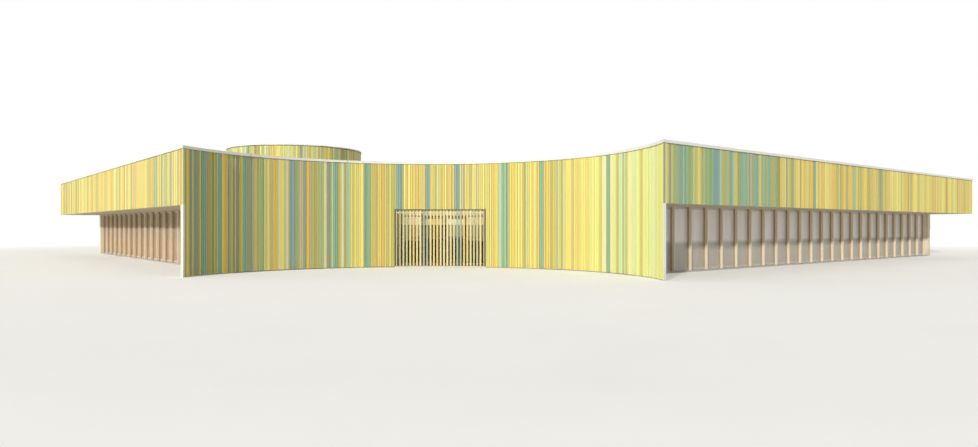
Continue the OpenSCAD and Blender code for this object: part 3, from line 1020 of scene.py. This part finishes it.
def fin_beads():
    """Dark beads each side of every fin, where it meets the glass."""
    start = CURVE_C + math.sqrt(CORE_BACK**2 - (CURVE_C - PANE_Y) ** 2)
    for name, length, first, pitch, place in (
        ("fin_beads_right", PLAN_X, FIRST_FIN_RIGHT, FIN_PITCH_RIGHT, plan),
        ("fin_beads_left", PLAN_Y, FIRST_FIN_LEFT, FIN_PITCH_LEFT, mirrored),
    ):
        shape = Shape()
        room = length - CLAD_T - WALL_T - FIN_W / 2 - start - first
        for i in range(math.floor(room / pitch) + 1):
            middle = start + first + i * pitch
            for edge in (-1, 1):
                near = middle + edge * FIN_W / 2
                far = middle + edge * (FIN_W / 2 + BEAD_W)
                low = (min(near, far), PANE_Y - BEAD_D, FLOOR_TOP)
                shape.box(low, (max(near, far), PANE_Y, BAND_LOW), BEAD_TIMBER, place)
        shape.piece(name, ROOT, "timber")


# Stage: pale floor, sun and sky, and the photograph's camera


def seen_rays(tree):
    """1 for what the camera sees directly, in a reflection or through glass."""
    path = tree.nodes.new("ShaderNodeLightPath")
    bare = calculated(tree, "MAXIMUM", path.outputs["Is Camera Ray"], path.outputs["Is Glossy Ray"])
    return calculated(tree, "MAXIMUM", bare, path.outputs["Is Transmission Ray"])


def pale_floor():
    """A pale matt floor that keeps shadows; what is seen of it is lifted, and fades to white far off."""
    material = finish(
        "pale_floor", (224, 221, 214), 0.012,
        roughness=(0.85, 0.95), stretch=(0.4, 0.4, 0.4), fine=(4, 4, 4), bump=0.0005,
    )
    tree, shader = opened(material)
    lift = tree.nodes.new("ShaderNodeEmission")
    lift.inputs["Color"].default_value = (1.0, 0.99, 0.97, 1.0)
    away = add(tree, "VectorMath")
    away.operation = "LENGTH"
    tree.links.new(add(tree, "TexCoord").outputs["Object"], away.inputs[0])
    amount = ranged(tree, away.outputs["Value"], low=0.3, high=1.0, start=34.0, end=90.0)
    tree.links.new(calculated(tree, "MULTIPLY", seen_rays(tree), amount), lift.inputs["Strength"])
    both = tree.nodes.new("ShaderNodeAddShader")
    tree.links.new(shader.outputs[0], both.inputs[0])
    tree.links.new(lift.outputs[0], both.inputs[1])
    tree.links.new(both.outputs[0], tree.nodes["Material Output"].inputs["Surface"])
    return material


def ground():
    """The stage's floor."""
    reach = 400.0
    mesh = bpy.data.meshes.new("ground")
    corners = [(-reach, -reach, 0), (reach, -reach, 0), (reach, reach, 0), (-reach, reach, 0)]
    mesh.from_pydata(corners, [], [(0, 1, 2, 3)])
    mesh.materials.append(pale_floor())
    floor = bpy.data.objects.new("ground", mesh)
    bpy.context.scene.collection.objects.link(floor)


def lamp(name, toward, strength, spread, colour):
    """A sun lamp that stands in a direction, with its spread in degrees."""
    data = bpy.data.lights.new(name, "SUN")
    data.energy = strength
    data.angle = math.radians(spread)
    data.color = colour
    x, y, z = toward
    made = bpy.data.objects.new(name, data)
    made.rotation_euler = (math.acos(z / math.hypot(x, y, z)), 0.0, math.atan2(y, x) + math.pi / 2)
    bpy.context.scene.collection.objects.link(made)


def sky():
    """An even sky for the light, and white where it is seen."""
    world = bpy.data.worlds.new("sky")
    world.use_nodes = True
    bpy.context.scene.world = world
    tree = world.node_tree
    light = tree.nodes["Background"]
    light.inputs["Color"].default_value = SKY_COLOUR
    light.inputs["Strength"].default_value = SKY_STRENGTH
    white = tree.nodes.new("ShaderNodeBackground")
    white.inputs["Color"].default_value = (1.0, 1.0, 1.0, 1.0)
    mix = tree.nodes.new("ShaderNodeMixShader")
    tree.links.new(seen_rays(tree), mix.inputs[0])
    tree.links.new(light.outputs[0], mix.inputs[1])
    tree.links.new(white.outputs[0], mix.inputs[2])
    tree.links.new(mix.outputs[0], tree.nodes["World Output"].inputs["Surface"])


def camera():
    """The photograph's camera."""
    data = bpy.data.cameras.new("camera")
    data.lens = LENS
    data.sensor_width = SENSOR_W
    data.shift_y = SHIFT_Y
    data.clip_end = 2000.0
    made = bpy.data.objects.new("camera", data)
    made.location = (*plan(*CAMERA), EYE_HEIGHT)
    made.rotation_euler = (math.pi / 2, 0.0, math.radians(VIEW_TURN - 90))
    bpy.context.scene.collection.objects.link(made)
    bpy.context.scene.camera = made


dress_nodes()
curve_battens()
corner_boards()
band_battens()
rear_battens()
drum_battens()
gate(1, "gate_left", LEFT_SLATS)
gate(-1, "gate_right", RIGHT_SLATS)
door_handles()
rear_bars()
fin_beads()
ground()
lamp("sun", SUN_TOWARD, SUN_STRENGTH, SUN_SPREAD, SUN_COLOUR)
lamp("fill", FILL_TOWARD, FILL_STRENGTH, FILL_SPREAD, FILL_COLOUR)
sky()
camera()
bpy.context.scene.view_settings.view_transform = "Standard"
